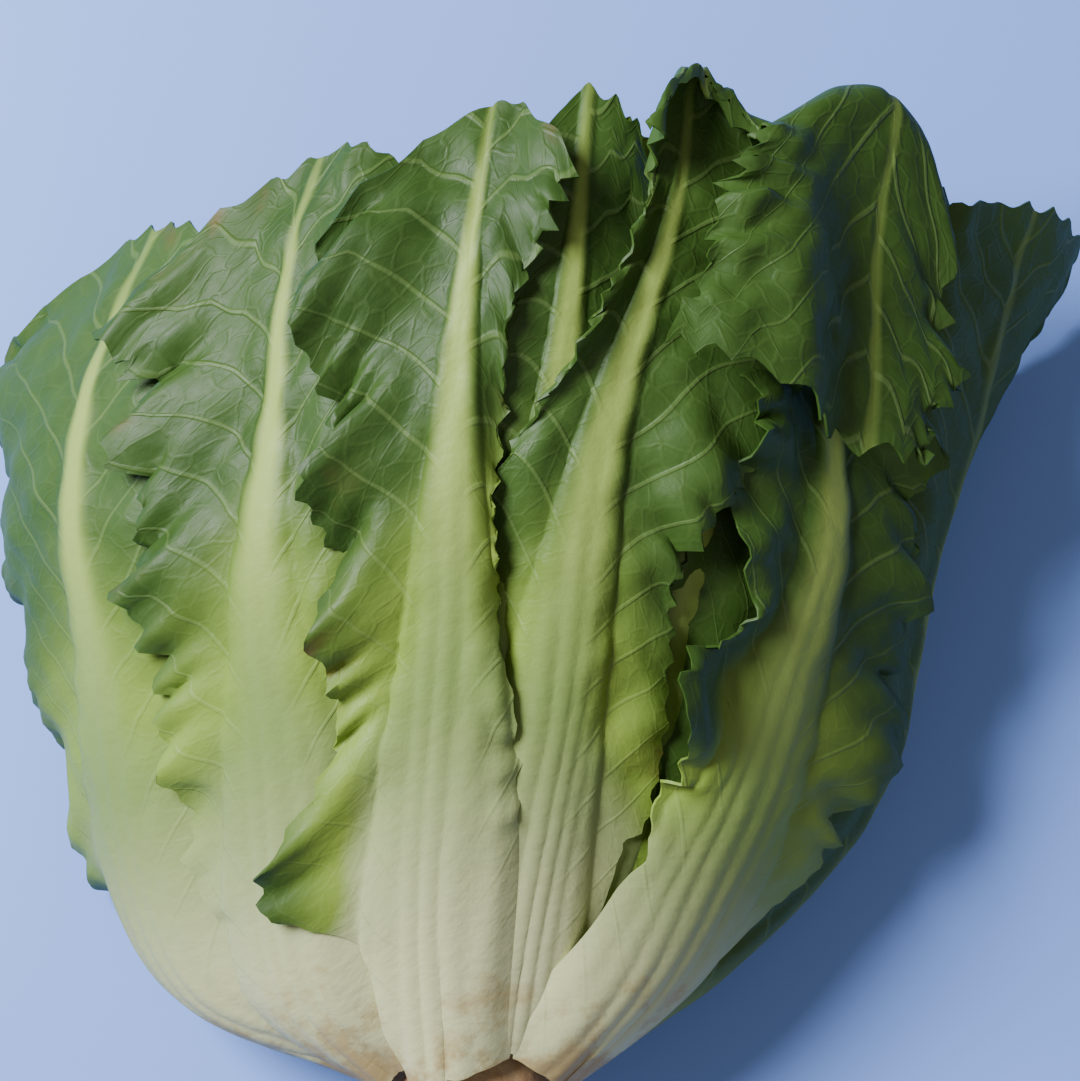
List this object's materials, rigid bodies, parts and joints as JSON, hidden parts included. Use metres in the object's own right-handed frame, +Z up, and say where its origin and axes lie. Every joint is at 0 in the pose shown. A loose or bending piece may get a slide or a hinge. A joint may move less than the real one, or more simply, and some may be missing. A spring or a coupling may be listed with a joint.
{
  "type": "escarole head",
  "caption": "Whole head of escarole lying on its side: broad pale ribs rise from a cut stem into overlapping green leaves with toothed, ruffled margins round a pale heart",
  "frame": {"origin": "the middle of the underside of the whole box, on the surface that the head lies on", "axes": "+Y from the cut end to the leaf tips, +Z up from the surface that the head lies on, +X to the right seen from above with the tips away"},
  "size_m": [0.3166, 0.2722, 0.1446],
  "materials": {
    "outer_leaf": "dark to mid green satin leaf with pale veins, fading to a cream-white rib at the cut end",
    "inner_leaf": "lighter green satin leaf with a pale green rib",
    "heart": "yellow-green soft leaf with a cream rib",
    "stem": "cream stem with a brown-orange dried cut face"
  },
  "bodies": {
    "root": {"leaf_centre_left": "outer_leaf", "leaf_right_folded": "outer_leaf", "leaf_right_edge": "outer_leaf", "leaf_left_edge": "outer_leaf", "leaf_left_under": "outer_leaf", "leaf_under": "outer_leaf", "leaf_right_under": "outer_leaf", "leaf_centre_right": "outer_leaf", "leaf_left_upper": "outer_leaf", "leaf_left_middle": "outer_leaf", "leaf_left_side": "outer_leaf", "leaf_left_low": "outer_leaf", "leaf_left_lining": "outer_leaf", "leaf_under_lining": "outer_leaf", "leaf_right_low": "outer_leaf", "leaf_right_side": "outer_leaf", "leaf_right_narrow": "outer_leaf", "leaf_top_middle": "outer_leaf", "leaf_top_left": "outer_leaf", "leaf_back_left": "outer_leaf", "leaf_back": "outer_leaf", "leaf_back_right": "outer_leaf", "inner_leaf_1": "inner_leaf", "inner_leaf_2": "inner_leaf", "inner_leaf_3": "inner_leaf", "inner_leaf_4": "inner_leaf", "inner_leaf_5": "inner_leaf", "inner_leaf_6": "inner_leaf", "inner_leaf_7": "inner_leaf", "inner_leaf_8": "inner_leaf", "inner_leaf_9": "inner_leaf", "inner_leaf_10": "inner_leaf", "heart": "heart", "cut_stem": "stem"}
  },
  "joints": []
}
